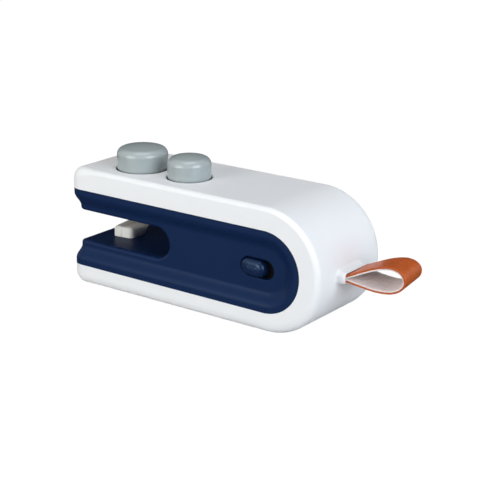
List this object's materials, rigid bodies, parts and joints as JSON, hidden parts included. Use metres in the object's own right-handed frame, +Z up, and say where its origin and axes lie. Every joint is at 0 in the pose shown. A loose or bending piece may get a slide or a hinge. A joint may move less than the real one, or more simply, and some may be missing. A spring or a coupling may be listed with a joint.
{
  "type": "mini bag sealer",
  "caption": "Handheld bag sealer: white horseshoe body round a dark blue core with an open jaw, grey sealing and cutting buttons, a side switch and a leather wrist loop.",
  "frame": {"origin": "middle of the body's flat underside", "axes": "+X along the body from the open jaw to the rounded end with the wrist loop, +Y from the switch side to the rear, +Z up through the buttons"},
  "size_m": [0.1321, 0.039, 0.0524],
  "materials": {
    "white_shell": "satin white moulding",
    "navy_core": "satin dark blue moulding",
    "grey_button": "satin grey moulding",
    "white_anvil": "matt white moulding",
    "white_silicone": "soft matt white strip",
    "tan_leather": "tan leather with a pale lining",
    "steel": "bright steel",
    "black_plastic": "black moulding",
    "ceramic": "off-white heat-proof block",
    "nichrome": "dull resistance ribbon",
    "ptfe": "brown slip sheet",
    "contact_brass": "spring contact metal",
    "board_green": "green circuit board",
    "cell_sleeve": "shrink sleeve over a cell",
    "inner_plastic": "plain inner moulding",
    "wire_red": "wire insulation",
    "wire_white": "wire insulation"
  },
  "bodies": {
    "case": {"outer_shell": "white_shell", "rear_cover": "white_shell", "strap_lug": "white_shell", "core_front": "navy_core", "core_rear": "navy_core", "anvil_base": "white_anvil", "anvil_pad": "white_silicone", "strap": "tan_leather", "case_screws": "steel", "strap_rivets": "steel", "board_screws": "steel", "charge_screws": "steel", "seal_springs": "steel", "cut_springs": "steel", "slide_switch": "steel", "usb_port": "steel", "control_chip": "black_plastic", "inductor": "black_plastic", "contact_leaves": "contact_brass", "main_board": "board_green", "charge_board": "board_green", "battery_cell": "cell_sleeve", "battery_cradle": "inner_plastic", "battery_leads": "wire_red", "heater_leads": "wire_white"},
    "seal_button_body": {"seal_button": "grey_button", "seal_carrier": "black_plastic", "seal_button_screw": "steel", "heat_block": "ceramic", "heating_strip": "nichrome", "ptfe_cover": "ptfe"},
    "cut_button_body": {"cut_button": "grey_button", "blade_carrier": "black_plastic", "cut_button_screw": "steel", "cutter_blade": "steel", "blade_pin": "steel"},
    "switch_body": {"slide_knob": "navy_core", "switch_lever": "black_plastic"}
  },
  "joints": [
    {"name": "seal_press", "type": "slide", "parent": "case", "child": "seal_button_body", "axis": [0, 0, -1], "range_m": [0, 0.0048], "stiffness_N_per_m": 900, "deforming": ["seal_springs"]},
    {"name": "cut_press", "type": "slide", "parent": "case", "child": "cut_button_body", "axis": [0, 0, -1], "range_m": [0, 0.006], "stiffness_N_per_m": 700, "deforming": ["cut_springs"]},
    {"name": "power_slide", "type": "slide", "parent": "case", "child": "switch_body", "axis": [1, 0, 0], "range_m": [0, 0.0018]}
  ]
}
